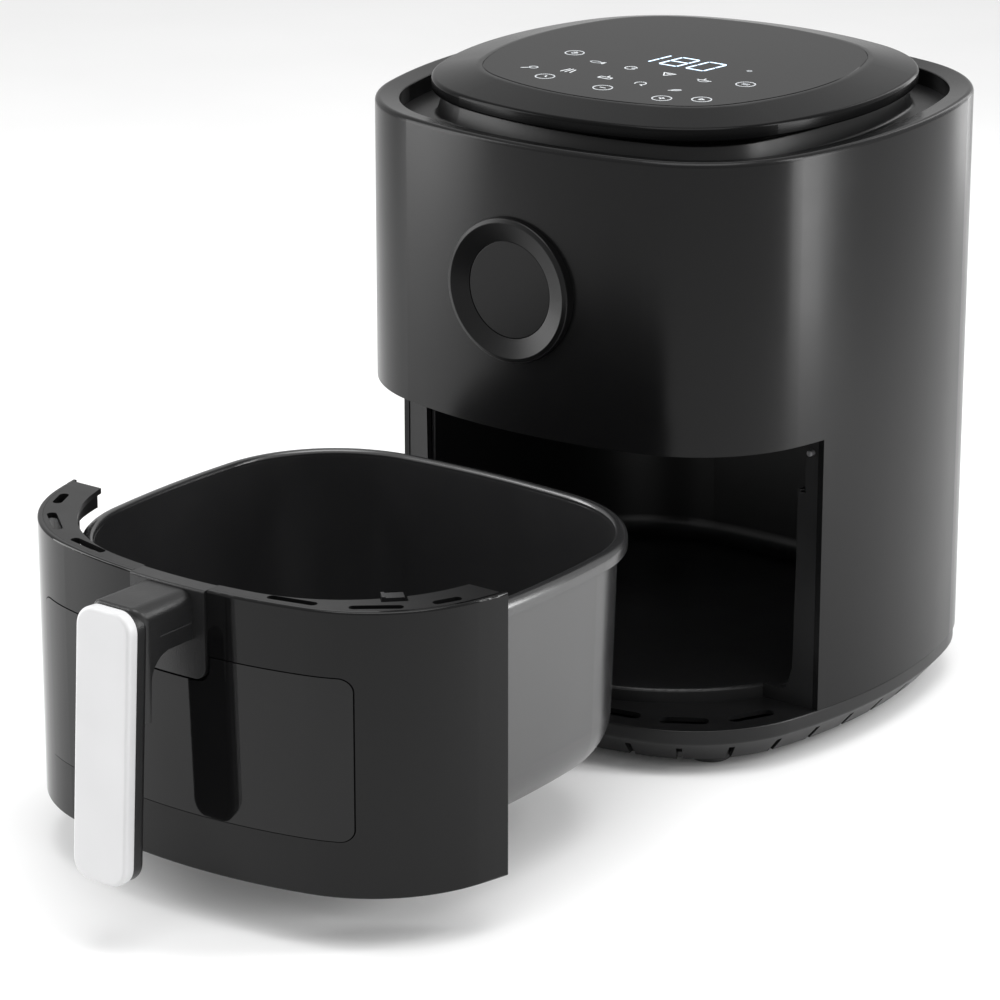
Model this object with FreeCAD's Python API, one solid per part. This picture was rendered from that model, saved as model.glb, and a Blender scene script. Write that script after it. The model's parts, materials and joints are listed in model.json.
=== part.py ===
import FreeCAD, Part
import math
import os
from collections import namedtuple

# Basket air fryer, millimetres, +Z up, front towards -Y, with the drawer pulled out. Each piece is
# drawn about the housing's own centre with the drawer shut, and is moved as it is written: the
# origin is then the middle of the whole object's footprint on the surface that it stands on.

V = FreeCAD.Vector
UP = V(0, 0, 1)
BACK = V(0, 1, 0)
RIGHT = V(1, 0, 0)

# A squircle of eight tangent arcs: four long side arcs and four corner arcs.
Outline = namedtuple("Outline", "half_x half_y side_r corner_r centre_y")

# ---- driving dimensions ---------------------------------------------------------------------
BODY = Outline(134.0, 135.9, 270.0, 77.0, 0.0)
CAVITY = Outline(114.0, 112.0, 500.0, 72.0, -1.0)
LID = Outline(112.0, 115.0, 175.0, 76.0, 0.0)
GLASS = Outline(87.5, 90.5, 135.0, 46.0, 0.0)
PAN = Outline(115.0, 108.0, 500.0, 70.0, -5.0)
FRAME_REAR = Outline(115.5, 127.0, 240.0, 84.0, 0.0)

DRAWER_TRAVEL = 250.0       # how far the drawer stands out of the housing
HOUSING_BACK = 148.5        # how far the housing's centre is behind the origin
SHELL_T = 3.0               # outer shell wall
FOOT_H = 6.0
BAND_Z = 17.5               # where the base ring turns from its slope to its upright band
LEDGE_Z = 24.5              # top of the base ring, seen as the ledge below the opening
SHELL_Z0 = 25.0
FLOOR_Z = 31.8              # cavity floor
RAIL_Z = 135.3              # step in the cavity walls that lets the pan's rim pass
VISOR_Z = 164.2             # lower edge of the shell over the opening
SOFFIT_Z = (165.2, 167.6)   # plate behind the visor's lower edge
ROOF_Z = 222.0              # steel roof of the cavity
DECK_Z = 297.5              # floor of the recess round the lid
RIM_Z = 307.7               # top edge of the shell
LID_EDGE_Z = 316.9          # where the lid's slope meets its upright edge
LID_Z = 321.6
GLASS_Z = 321.8
SPLIT_Y = -56.0             # the shell is open in front of this plane
JAMB_Y = (-55.5, -52.0)     # front and back faces of the jambs
SLOPE_INSET = 11.0          # how far the base ring slopes in to its lower edge
APRON_R = 110.5             # round front edge of the cavity floor

MEDALLION_Z = 235.0
MEDALLION_R = 35.5
MEDALLION_DISC_R = 23.8
MEDALLION_FACE_Y = -139.4

PANEL_Z = (25.5, 160.0)     # drawer front
PANEL_T = 2.5
PANEL_END_Y = -56.9
INLAY_Z = (52.6, 129.0)
INLAY_HALF = 90.0
MOUNT_HALF = 21.5           # handle mount
MOUNT_Z = 118.0
HANDLE_SCREWS_AT = ((-12, 150), (12, 150), (0, 127))
HANDLE_SCREW_Y = -127.2
ARM_HALF = 14.8
GRIP_HALF = 15.6
GRIP_Z = (33.0, 159.2)
GRIP_TOP_Y = -178.6         # front face of the grip at its top
GRIP_LEAN = 3.6             # degrees that the grip leans out at its foot
COVER_T = 6.3
GRIP_BACK_T = 7.6

PAN_FLOOR_Z = 32.2
PAN_RIM_Z = 147.0
PAN_T = 1.5
TRAY_Z = 46.0

SHAFT_R = 2.5
FAN_R = 57.0
COOLING_FAN_R = 50.0


# ---- shape helpers ----------------------------------------------------------------------------
def corner_geometry(outline):
    """Corner arc centre in the first quadrant, and the half angles of the two side arcs."""
    side = V(outline.half_x - outline.side_r, 0, 0)
    end = V(0, outline.half_y - outline.side_r, 0)
    reach = outline.side_r - outline.corner_r
    middle = (side + end) * 0.5
    gap = (end - side).Length
    normal = V(side.y - end.y, end.x - side.x, 0).normalize()
    centre = middle + normal * math.sqrt(reach ** 2 - gap ** 2 / 4)
    side_half = math.atan2(centre.y, centre.x - side.x)
    end_half = math.atan2(centre.x, centre.y - end.y)
    return centre, side_half, end_half


def arcs_of(outline):
    """The outline's arcs, counter-clockwise, as (centre, radius, start angle, sweep)."""
    corner, side_half, end_half = corner_geometry(outline)
    turn = math.pi / 2 - side_half - end_half
    flat_x = outline.half_x - outline.side_r
    flat_y = outline.half_y - outline.side_r
    y0 = outline.centre_y
    return [
        (V(flat_x, y0, 0), outline.side_r, -side_half, 2 * side_half),
        (V(corner.x, y0 + corner.y, 0), outline.corner_r, side_half, turn),
        (V(0, y0 + flat_y, 0), outline.side_r, math.pi / 2 - end_half, 2 * end_half),
        (V(-corner.x, y0 + corner.y, 0), outline.corner_r, math.pi / 2 + end_half, turn),
        (V(-flat_x, y0, 0), outline.side_r, math.pi - side_half, 2 * side_half),
        (V(-corner.x, y0 - corner.y, 0), outline.corner_r, math.pi + side_half, turn),
        (V(0, y0 - flat_y, 0), outline.side_r, 1.5 * math.pi - end_half, 2 * end_half),
        (V(corner.x, y0 - corner.y, 0), outline.corner_r, 1.5 * math.pi + end_half, turn),
    ]


def prism(outline, inset, z0, z1):
    """The outline, moved inwards by inset, as an upright solid between two heights."""
    edges = []
    for centre, radius, start, sweep in arcs_of(outline):
        circle = Part.Circle(centre + UP * z0, UP, radius - inset)
        edges.append(Part.ArcOfCircle(circle, start, start + sweep).toShape())
    return Part.Face(Part.Wire(edges)).extrude(UP * (z1 - z0))


def rounded_wire(corners, place):
    """A closed wire through (a, b) or (a, b, radius) corners; place puts a corner in space."""
    spans = []
    for index, corner in enumerate(corners):
        here = V(corner[0], corner[1], 0)
        before = V(corners[index - 1][0], corners[index - 1][1], 0)
        after_corner = corners[(index + 1) % len(corners)]
        after = V(after_corner[0], after_corner[1], 0)
        radius = corner[2] if len(corner) > 2 else 0
        if radius == 0:
            spans.append((here, None, here))
            continue
        back = (before - here).normalize()
        ahead = (after - here).normalize()
        half = back.getAngle(ahead) / 2
        inward = (back + ahead).normalize()
        middle = here + inward * (radius / math.sin(half) - radius)
        reach = radius / math.tan(half)
        spans.append((here + back * reach, middle, here + ahead * reach))
    edges = []
    for index, (start, middle, end) in enumerate(spans):
        if middle is not None:
            edges.append(Part.Arc(place(start), place(middle), place(end)).toShape())
        following = spans[(index + 1) % len(spans)][0]
        if end.distanceToPoint(following) > 1e-6:
            edges.append(Part.makeLine(place(end), place(following)))
    return Part.Wire(edges)


def swept_ring(outline, profile):
    """Carry a profile of (inset, height, rounding) corners round the outline's arcs."""
    sectors = []
    for centre, radius, start, sweep in arcs_of(outline):
        def place(point, centre=centre, radius=radius, start=start):
            reach = radius - point.x
            x = centre.x + reach * math.cos(start)
            y = centre.y + reach * math.sin(start)
            return V(x, y, point.y)
        face = Part.Face(rounded_wire(profile, place))
        sectors.append(face.revolve(centre, UP, math.degrees(sweep)))
    return sectors[0].multiFuse(sectors[1:]).removeSplitter()


def swept_disc(outline, profile, core_inset, z0, z1):
    """A swept ring whose innermost edge stands at core_inset, closed by a flat core."""
    return swept_ring(outline, profile).fuse(prism(outline, core_inset, z0, z1)).removeSplitter()


def box(x0, x1, y0, y1, z0, z1):
    return Part.makeBox(x1 - x0, y1 - y0, z1 - z0, V(x0, y0, z0))


def front_of(shape, y):
    """The part of a shape that lies in front of a plane."""
    return shape.common(box(-400, 400, -400, y, -10, 400))


def behind(shape, y):
    return shape.common(box(-400, 400, y, 400, -10, 400))


def cylinder(radius, z0, z1, x=0.0, y=0.0):
    return Part.makeCylinder(radius, z1 - z0, V(x, y, z0), UP)


def rounded_block_y(x0, x1, z0, z1, radius, y0, y1):
    """A block with four rounded corners as seen from the front."""
    corners = [(x0, z0, radius), (x1, z0, radius), (x1, z1, radius), (x0, z1, radius)]
    wire = rounded_wire(corners, lambda point: V(point.x, y0, point.y))
    return Part.Face(wire).extrude(BACK * (y1 - y0))


def rounded_block_z(x0, x1, y0, y1, radius, z0, z1):
    """A block with four rounded corners as seen from above."""
    corners = [(x0, y0, radius), (x1, y0, radius), (x1, y1, radius), (x0, y1, radius)]
    wire = rounded_wire(corners, lambda point: V(point.x, point.y, z0))
    return Part.Face(wire).extrude(UP * (z1 - z0))


def along_outline(outline, inset, distance):
    """Point and outward angle at a distance from the front centre, towards +X if positive."""
    corner, side_half, end_half = corner_geometry(outline)
    front_r = outline.side_r - inset
    corner_r = outline.corner_r - inset
    lengths = (front_r * end_half, corner_r * (math.pi / 2 - side_half - end_half))
    quarter = sum(lengths) + front_r * side_half
    sign = 1 if distance >= 0 else -1
    run = abs(distance)
    rear = run > quarter
    if rear:
        run = 2 * quarter - run
    if run <= lengths[0]:
        turned = run / front_r
        centre = V(0, outline.side_r - outline.half_y, 0)
        reach = front_r
    elif run <= sum(lengths):
        turned = end_half + (run - lengths[0]) / corner_r
        centre = V(corner.x, -corner.y, 0)
        reach = corner_r
    else:
        turned = math.pi / 2 - side_half + (run - sum(lengths)) / front_r
        centre = V(outline.half_x - outline.side_r, 0, 0)
        reach = front_r
    x = sign * (centre.x + reach * math.sin(turned))
    y = centre.y - reach * math.cos(turned)
    angle = math.atan2(-math.cos(turned), sign * math.sin(turned))
    if rear:
        y = -y
        angle = -angle
    return V(x, y + outline.centre_y, 0), angle


def slot_cutter(outline, inset, distance, length, width, z0, z1):
    """A round-ended slot that lies along the outline."""
    point, angle = along_outline(outline, inset, distance)
    cutter = rounded_block_z(-width / 2, width / 2, -length / 2, length / 2, width * 0.49, z0, z1)
    cutter.rotate(V(0, 0, 0), UP, math.degrees(angle))
    cutter.translate(point)
    return cutter


def half_perimeter(outline, inset):
    corner, side_half, end_half = corner_geometry(outline)
    straight = (outline.side_r - inset) * (side_half + end_half)
    return 2 * (straight + (outline.corner_r - inset) * (math.pi / 2 - side_half - end_half))


def screw(x, y, z, direction, head_r=3.2, head_h=2.0, shank_r=1.5, shank=9.0):
    """Pan-head screw with a cross recess; the head stands out along direction."""
    body = Part.makeCylinder(head_r, head_h, V(0, 0, 0), UP)
    body = body.makeFillet(head_h * 0.45, [body.Edges[0]])
    slot = head_r * 0.62
    for turn in (0, 90):
        cross = box(-slot, slot, -0.4, 0.4, head_h - 1.0, head_h + 1)
        cross.rotate(V(0, 0, 0), UP, turn)
        body = body.cut(cross)
    body = body.fuse(Part.makeCylinder(shank_r, shank, V(0, 0, -shank), UP))
    body.Placement = FreeCAD.Placement(V(x, y, z), FreeCAD.Rotation(UP, direction))
    return body


# ---- housing: outside -------------------------------------------------------------------------
def outer_shell():
    """Side wall with a visor over the opening and a broad rolled band round the top."""
    profile = [
        (0, SHELL_Z0), (0, RIM_Z, 2.4), (12, RIM_Z - 1.8, 0.7), (12, DECK_Z + 0.1),
        (9.8, DECK_Z + 0.1), (9.8, RIM_Z - 4.3), (SHELL_T, RIM_Z - 3.1, 0.8), (SHELL_T, SHELL_Z0),
    ]
    shell = swept_ring(BODY, profile)
    shell = shell.cut(box(-200, 200, -200, SPLIT_Y, 0, VISOR_Z))
    shell = shell.cut(outlet_window(0.0))
    gland = Part.makeCylinder(7.1, 30, V(GLAND_X, BODY.half_y - 20, GLAND_Z), BACK)
    return shell.cut(gland)


OUTLET_HALF = 48.0
OUTLET_Z = (186.0, 244.0)
GLAND_X = -60.0
GLAND_Z = 46.0


def outlet_window(gap):
    """Window in the back of the shell for the air outlet; gap shrinks it for the grille."""
    return rounded_block_y(-OUTLET_HALF + gap, OUTLET_HALF - gap, OUTLET_Z[0] + gap, OUTLET_Z[1] - gap,
                           8.0, 100, 180)


def air_outlet_grille():
    """Curved louvred grille that fills the window in the back."""
    outer = prism(BODY, -0.8, OUTLET_Z[0] - 5, OUTLET_Z[1] + 5)
    grille = outer.cut(prism(BODY, 3.4, OUTLET_Z[0] - 6, OUTLET_Z[1] + 6))
    grille = grille.common(outlet_window(0.25))
    louvres = []
    count = 8
    pitch = (OUTLET_Z[1] - OUTLET_Z[0] - 10) / count
    for row in range(count):
        z = OUTLET_Z[0] + 5 + (row + 0.5) * pitch
        for x0, x1 in ((-42, -1.5), (1.5, 42)):
            cutter = rounded_block_y(x0, x1, -1.8, 1.8, 1.7, 100, 180)
            cutter.rotate(V(0, BODY.half_y, 0), RIGHT, 12)
            cutter.translate(V(0, 0, z))
            louvres.append(cutter)
    return grille.cut(Part.makeCompound(louvres))


def cord_gland():
    """Hollow bush in the back through which a mains lead would leave."""
    y0 = BODY.half_y - 8
    bush = Part.makeCylinder(7.0, 11.5, V(GLAND_X, y0, GLAND_Z), BACK)
    flange = Part.makeCylinder(9.5, 2.6, V(GLAND_X, y0 + 11.5 - 4.2, GLAND_Z), BACK)
    shape = bush.fuse(flange).cut(prism(BODY, 0, 0, 100).common(
        Part.makeCylinder(9.6, 30, V(GLAND_X, y0 - 5, GLAND_Z), BACK).cut(
            Part.makeCylinder(7.0, 30, V(GLAND_X, y0 - 5, GLAND_Z), BACK))))
    return shape.cut(Part.makeCylinder(3.8, 40, V(GLAND_X, y0 - 5, GLAND_Z), BACK))


def base_ring():
    """Foot ring: an upright band, a slope with air vents, and the ledge below the opening."""
    profile = [
        (SLOPE_INSET, FOOT_H), (0.8, BAND_Z, 2.0), (0.8, LEDGE_Z, 0.7), (40, LEDGE_Z),
        (40, LEDGE_Z - 2.2), (3.6, LEDGE_Z - 2.2), (3.6, BAND_Z + 1), (SLOPE_INSET + 2.8, FOOT_H),
    ]
    ring = swept_ring(BODY, profile)
    rib = prism(BODY, SHELL_T + 0.2, LEDGE_Z, LEDGE_Z + 6).cut(
        prism(BODY, SHELL_T + 2.2, LEDGE_Z - 1, LEDGE_Z + 7))
    ring = ring.fuse(behind(rib, JAMB_Y[1] + 0.2))
    cutters = base_vents() + ledge_slots()
    return ring.cut(Part.makeCompound(cutters))


def base_vents():
    """Upright vents cut through the slope from its lower edge."""
    cutters = []
    half = half_perimeter(BODY, 6)
    count = 17
    for index in range(count):
        for side in (-1, 1):
            distance = side * (index + 0.5) * half / count
            point, angle = along_outline(BODY, 6, distance)
            cutter = box(-12, 12, -1.5, 1.5, FOOT_H - 1, BAND_Z - 3.2)
            cutter.rotate(V(0, 0, 0), UP, math.degrees(angle))
            cutter.translate(point)
            cutters.append(cutter)
    return cutters


def ledge_slots():
    """Drain and air slots along the ledge, four a side."""
    return [slot_cutter(BODY, 15, side * (17 + 34 * index), 25, 8, 10, 60)
            for index in range(4) for side in (-1, 1)]


FEET_AT = [(x, y) for x in (-84, 84) for y in (-84, 84)]
BASE_SCREWS_AT = [(0, -108), (0, 108), (-108, 0), (108, 0)]


def base_plate():
    """Bottom cover with rows of air slots and screw bosses."""
    plate = prism(BODY, SLOPE_INSET + 3.0, FOOT_H, FOOT_H + 2.5)
    rows = []
    for row in range(-4, 5):
        for x in (-34, 34):
            cutter = rounded_block_z(x - 26, x + 26, row * 12 - 2, row * 12 + 2, 1.9, 0, 20)
            rows.append(cutter)
    plate = plate.cut(Part.makeCompound(rows))
    for x, y in BASE_SCREWS_AT:
        plate = plate.fuse(cylinder(5.5, FOOT_H + 2.5, LEDGE_Z - 2.2, x, y))
        plate = plate.cut(cylinder(1.5, FOOT_H - 1, LEDGE_Z - 3, x, y))
    return plate


def base_screws():
    return Part.makeCompound([screw(x, y, FOOT_H, V(0, 0, -1)) for x, y in BASE_SCREWS_AT])


def feet():
    """Four soft pads, the lowest things on the housing."""
    pads = []
    for x, y in FEET_AT:
        pad = cylinder(11, 0, FOOT_H, x, y)
        lower = [edge for edge in pad.Edges if abs(edge.BoundBox.ZMax) < 0.01]
        pads.append(pad.makeFillet(1.5, lower))
    return Part.makeCompound(pads)


def top_deck():
    """Floor of the recess round the lid, rising to the plateau that carries the lid."""
    profile = [
        (3.2, DECK_Z - 2.5), (3.2, DECK_Z), (30, DECK_Z, 2.0), (33, 307.3, 1.0), (60, 307.3),
        (60, 304.8), (35.4, 304.8, 1.0), (32.4, DECK_Z - 2.5),
    ]
    return swept_disc(BODY, profile, 60, 304.8, 307.3)


DISPLAY_AT = (-1.3, 9.4)


def display_block(margin, z0, z1):
    x, y = DISPLAY_AT
    return rounded_block_z(x - 28 - margin, x + 28 + margin, y - 12 - margin, y + 12 + margin, 2, z0, z1)


def control_lid():
    """Low domed cover that stands over the recess and carries the touch glass."""
    profile = [
        (0, 310.6, 0.8), (0, LID_EDGE_Z, 2.0), (23, LID_Z, 10), (40, LID_Z), (40, LID_Z - 3.0), (16, 317.2),
        (16, 307.3), (13.5, 307.3), (13.5, 316.2), (2.6, 313.6), (2.6, 310.6),
    ]
    lid = swept_disc(LID, profile, 40, LID_Z - 3.0, LID_Z)
    lid = lid.cut(prism(GLASS, -0.15, LID_Z - 1.4, 330))
    return lid.cut(display_block(1.0, 300, 330))


def touch_glass():
    glass = prism(GLASS, 0, LID_Z - 1.4, GLASS_Z)
    top = [edge for edge in glass.Edges if edge.BoundBox.ZMin > GLASS_Z - 0.1]
    return glass.makeChamfer(0.3, top)


def display_module():
    return display_block(0, 310.1, LID_Z - 1.5)


def control_board():
    """Touch board under the lid with its chips and connector."""
    board = rounded_block_z(-66, 66, -50, 44, 4, 308.5, 310.1)
    for x, y, w, d, h in ((-40, 20, 12, 12, 1.8), (38, -20, 9, 9, 1.6), (-30, -30, 18, 6, 3.0)):
        board = board.fuse(box(x - w / 2, x + w / 2, y - d / 2, y + d / 2, 310.1, 310.1 + h))
    return board


def medallion_solid(profile):
    """Revolve (radius, y) corners about the medallion's axis, cut back to the shell's face."""
    wire = rounded_wire(profile, lambda point: V(point.x, point.y, MEDALLION_Z))
    solid = Part.Face(wire).revolve(V(0, 0, MEDALLION_Z), BACK, 360)
    return solid.cut(prism(BODY, 0, MEDALLION_Z - 60, MEDALLION_Z + 60))


def medallion_ring():
    """Dished ring that frames the disc on the front."""
    face = MEDALLION_FACE_Y
    inner = MEDALLION_DISC_R + 0.2
    return medallion_solid([
        (inner, -130), (inner, face + 2.8), (MEDALLION_R - 2.2, face, 0.8), (MEDALLION_R, face + 0.9, 0.9),
        (MEDALLION_R, -130)])


def medallion_disc():
    return medallion_solid([
        (0, -130), (0, MEDALLION_FACE_Y + 3.0), (MEDALLION_DISC_R, MEDALLION_FACE_Y + 3.0, 0.3),
        (MEDALLION_DISC_R, -130)])


# ---- housing: cavity --------------------------------------------------------------------------
def cavity_liner():
    """Walls and floor of the cavity, with a step for the pan's rim and a round apron.

    Above the opening the wall runs all the way round, as the chamber over the pan.
    """
    profile = [
        (-2, LEDGE_Z), (-2, RAIL_Z - 2), (-6, RAIL_Z - 2), (-6, ROOF_Z), (-4, ROOF_Z), (-4, RAIL_Z),
        (0, RAIL_Z, 0.8), (0, FLOOR_Z, 9), (60, FLOOR_Z), (60, FLOOR_Z - 2.3), (1.6, FLOOR_Z - 2.3),
        (1.6, LEDGE_Z),
    ]
    liner = swept_disc(CAVITY, profile, 60, FLOOR_Z - 2.3, FLOOR_Z)
    liner = liner.cut(box(-200, 200, -200, JAMB_Y[1], 0, SOFFIT_Z[0]))
    apron = cylinder(APRON_R, LEDGE_Z, FLOOR_Z)
    edge = [e for e in apron.Edges if e.BoundBox.ZMin > FLOOR_Z - 0.01]
    apron = apron.makeFillet(1.6, edge)
    apron = apron.cut(cylinder(APRON_R - 2.4, LEDGE_Z - 1, FLOOR_Z - 2.3))
    apron = front_of(apron, JAMB_Y[1])
    return liner.fuse(apron).removeSplitter()


def jamb_opening():
    """The space between the jambs: wide above the rail step, narrowing a little to the floor."""
    wide = CAVITY.half_x + 4
    top = SOFFIT_Z[0]
    corners = [
        (-wide, top), (wide, top), (wide, RAIL_Z), (CAVITY.half_x, RAIL_Z, 1.2),
        (CAVITY.half_x - 1.6, FLOOR_Z + 12), (CAVITY.half_x - 5, FLOOR_Z, 3),
        (-CAVITY.half_x + 5, FLOOR_Z, 3), (-CAVITY.half_x + 1.6, FLOOR_Z + 12),
        (-CAVITY.half_x, RAIL_Z, 1.2), (-wide, RAIL_Z),
    ]
    wire = rounded_wire(corners, lambda point: V(point.x, -80, point.y))
    return Part.Face(wire).extrude(BACK * 60)


PLUNGER_AT = (121.2, 156.5)
PLUNGER_R = 1.5


def front_frame():
    """Portal round the opening: two jambs, a sill and the soffit behind the visor."""
    inside = prism(BODY, SHELL_T + 0.25, LEDGE_Z, SOFFIT_Z[1])
    portal = inside.common(box(-200, 200, JAMB_Y[0], JAMB_Y[1], 0, SOFFIT_Z[0])).cut(jamb_opening())
    soffit = prism(BODY, SHELL_T + 0.25, SOFFIT_Z[0], SOFFIT_Z[1]).cut(prism(CAVITY, -6.1, 100, 200))
    soffit = front_of(soffit, JAMB_Y[1])
    apron_gap = cylinder(APRON_R + 0.1, 0, FLOOR_Z)
    hole = Part.makeCylinder(PLUNGER_R + 0.3, 20, V(PLUNGER_AT[0], -65, PLUNGER_AT[1]), BACK)
    return portal.cut(apron_gap).fuse(soffit).cut(hole).removeSplitter()


def heat_reflector():
    """Steel cap that lines the top of the cavity, with holes for the shaft and the heater."""
    profile = [
        (-3.8, 172), (-3.8, ROOF_Z + 1.2, 5), (60, ROOF_Z + 1.2), (60, ROOF_Z), (-2.6, ROOF_Z, 3.8),
        (-2.6, 172),
    ]
    cap = swept_disc(CAVITY, profile, 60, ROOF_Z, ROOF_Z + 1.2)
    holes = [cylinder(9, 200, 240)]
    for radius, angle in (HEATER_OUTER, HEATER_INNER):
        holes.append(cylinder(5, 200, 240, radius * math.cos(angle), radius * math.sin(angle)))
    return cap.cut(Part.makeCompound(holes + bracket_screw_holes()))


HEATER_TUBE_R = 3.2
HEATER_Z = 192.0
HEATER_OUTER = (86.0, math.radians(-12))    # radius and angle of the terminal
HEATER_INNER = (64.0, math.radians(8))
HEATER_BEND_AT = math.radians(325)


def tube_arc(centre, radius, start, sweep):
    """A bent length of round tube in the heater's plane."""
    at = centre + V(math.cos(start), math.sin(start), 0) * radius
    tangent = V(-math.sin(start), math.cos(start), 0)
    face = Part.Face(Part.Wire(Part.makeCircle(HEATER_TUBE_R, at, tangent)))
    return face.revolve(centre, UP, math.degrees(sweep))


def heater_element():
    """Two turns of heater tube joined by a return bend, with two upright terminals."""
    centre = V(0, 0, HEATER_Z)
    outer_r, outer_start = HEATER_OUTER
    inner_r, inner_start = HEATER_INNER
    bend_at = HEATER_BEND_AT
    middle = (outer_r + inner_r) / 2
    bend_centre = centre + V(math.cos(bend_at), math.sin(bend_at), 0) * middle
    pieces = [
        tube_arc(centre, outer_r, outer_start, bend_at - outer_start),
        tube_arc(bend_centre, (outer_r - inner_r) / 2, bend_at, math.pi),
        tube_arc(centre, inner_r, inner_start, bend_at - inner_start),
    ]
    for radius, angle in ((outer_r, outer_start), (inner_r, inner_start)):
        x, y = radius * math.cos(angle), radius * math.sin(angle)
        pieces.append(Part.makeSphere(HEATER_TUBE_R, V(x, y, HEATER_Z)))
        pieces.append(cylinder(HEATER_TUBE_R, HEATER_Z, ROOF_Z + 9, x, y))
    return pieces[0].multiFuse(pieces[1:])


def heater_guard():
    """Wire grid below the heater: three rings on six spokes."""
    z = 178.0
    wire_r = 1.3
    pieces = [Part.makeTorus(radius, wire_r, V(0, 0, z), UP) for radius in (20, 46, 72, 98)]
    for index in range(6):
        angle = math.radians(60 * index + 30)
        direction = V(math.cos(angle), math.sin(angle), 0)
        pieces.append(Part.makeCylinder(wire_r, 99, V(0, 0, z - 1.2), direction))
    return pieces[0].multiFuse(pieces[1:])


def guard_posts():
    """Three posts that hang the guard from the roof of the chamber."""
    guard = heater_guard()
    posts = []
    for angle in (90, 210, 330):
        x = 98 * math.cos(math.radians(angle))
        y = 98 * math.sin(math.radians(angle))
        posts.append(cylinder(2.0, 178.0, ROOF_Z, x, y).cut(guard))
    return Part.makeCompound(posts)


# ---- housing: works ---------------------------------------------------------------------------
MOTOR_Z = (231.0, 262.0)


def fan_motor():
    """Motor can with a bearing boss at each end."""
    can = cylinder(28, MOTOR_Z[0], MOTOR_Z[1])
    can = can.makeFillet(3, [edge for edge in can.Edges if isinstance(edge.Curve, Part.Circle)])
    can = can.fuse(cylinder(8, MOTOR_Z[0] - 3, MOTOR_Z[1] + 3))
    vents = []
    for index in range(8):
        angle = math.radians(45 * index)
        vents.append(cylinder(3, MOTOR_Z[1] - 4, MOTOR_Z[1] + 4, 19 * math.cos(angle), 19 * math.sin(angle)))
    can = can.cut(Part.makeCompound(vents))
    return can.cut(cylinder(SHAFT_R + 0.06, 200, 300))


def motor_bracket():
    """Spider that stands on the cavity roof and holds the motor."""
    ring = cylinder(34, MOTOR_Z[0] - 1.6, MOTOR_Z[0]).cut(cylinder(11, 200, 300))
    for index in range(4):
        arm = box(25, 62, -6, 6, MOTOR_Z[0] - 1.6, MOTOR_Z[0])
        leg = box(60.4, 62, -6, 6, ROOF_Z + 1.2, MOTOR_Z[0])
        foot = box(60.4, 70, -6, 6, ROOF_Z + 1.2, ROOF_Z + 2.8)
        limb = arm.fuse(leg).fuse(foot)
        limb.rotate(V(0, 0, 0), UP, 45 + 90 * index)
        ring = ring.fuse(limb)
    return ring.removeSplitter().cut(Part.makeCompound(bracket_screw_holes()))


def bracket_screw_places():
    angles = [math.radians(45 + 90 * index) for index in range(4)]
    return [(66 * math.cos(angle), 66 * math.sin(angle)) for angle in angles]


def bracket_screw_holes():
    return [cylinder(1.5, ROOF_Z - 1, ROOF_Z + 5, x, y) for x, y in bracket_screw_places()]


def bracket_screws():
    return Part.makeCompound([screw(x, y, ROOF_Z + 2.8, UP, shank=2.6) for x, y in bracket_screw_places()])


def thermal_cutout():
    """Disc thermostat on the cavity roof with its two blade terminals."""
    can = cylinder(8, ROOF_Z + 1.2, ROOF_Z + 9, -78, -25)
    for dx in (-4, 4):
        can = can.fuse(box(-78 + dx - 0.4, -78 + dx + 0.4, -28, -22, ROOF_Z + 9, ROOF_Z + 17))
    return can


def power_board():
    """Power board on stand-offs behind the motor, with relay, transformer and capacitors."""
    z = 240.0
    board = rounded_block_z(-48, 48, 64, 106, 3, z, z + 1.6)
    for x in (-43, 43):
        for y in (69, 101):
            board = board.fuse(cylinder(3, ROOF_Z + 1.2, z, x, y))
    top = z + 1.6
    parts = [
        box(-40, -18, 70, 86, top, top + 16), box(-10, 14, 82, 102, top, top + 20),
        box(24, 42, 68, 76, top, top + 11), cylinder(5, top, top + 18, 26, 92),
        cylinder(4, top, top + 12, -28, 96), cylinder(6, top, top + 3, 38, 92),
    ]
    return board.multiFuse(parts)


def door_switch():
    """Snap switch behind the right jamb, worked by the drawer through a plunger."""
    x, z = PLUNGER_AT
    body = box(x - 1.9, x + 3.4, JAMB_Y[1], JAMB_Y[1] + 18, z - 6, z + 6)
    return body.cut(Part.makeCylinder(PLUNGER_R + 0.3, 12, V(x, JAMB_Y[1] - 1, z), BACK))


def switch_plunger():
    x, z = PLUNGER_AT
    pin = Part.makeCylinder(PLUNGER_R, 10.5, V(x, PLUNGER_TIP_Y, z), BACK)
    tip = [edge for edge in pin.Edges if abs(edge.BoundBox.YMax - PLUNGER_TIP_Y) < 0.01]
    return pin.makeFillet(0.8, tip)


FRAME_END_Y = -59.0
PLUNGER_TIP_Y = FRAME_END_Y + 0.3


# ---- rotor ------------------------------------------------------------------------------------
def motor_shaft():
    """Shaft that carries the hot-air fan below the motor and the cooling fan above it."""
    shaft = cylinder(SHAFT_R, 199, 284)
    nut = Part.makePolygon([V(5 * math.cos(math.radians(60 * i)), 5 * math.sin(math.radians(60 * i)), 199.5)
                            for i in range(7)])
    nut = Part.Face(nut).extrude(UP * 3.5)
    return shaft.fuse(nut)


def fan_blades(count, inner_r, outer_r, z0, z1, lean, thickness):
    """Blades set evenly round the shaft, each leaned about its own radius."""
    blades = []
    for index in range(count):
        blade = box(inner_r, outer_r, -thickness / 2, thickness / 2, z0, z1)
        blade.rotate(V(0, 0, (z0 + z1) / 2), RIGHT, lean)
        blade.rotate(V(0, 0, 0), UP, 360 * index / count)
        blades.append(blade)
    return blades


def convection_fan():
    """Steel impeller: a back plate with upright blades."""
    hub = cylinder(8, 203, 217)
    plate = cylinder(FAN_R, 215.6, 216.8)
    fan = hub.multiFuse([plate] + fan_blades(12, 20, FAN_R - 2, 204, 216, 0, 1.0))
    return fan.cut(cylinder(SHAFT_R, 190, 300))


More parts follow.
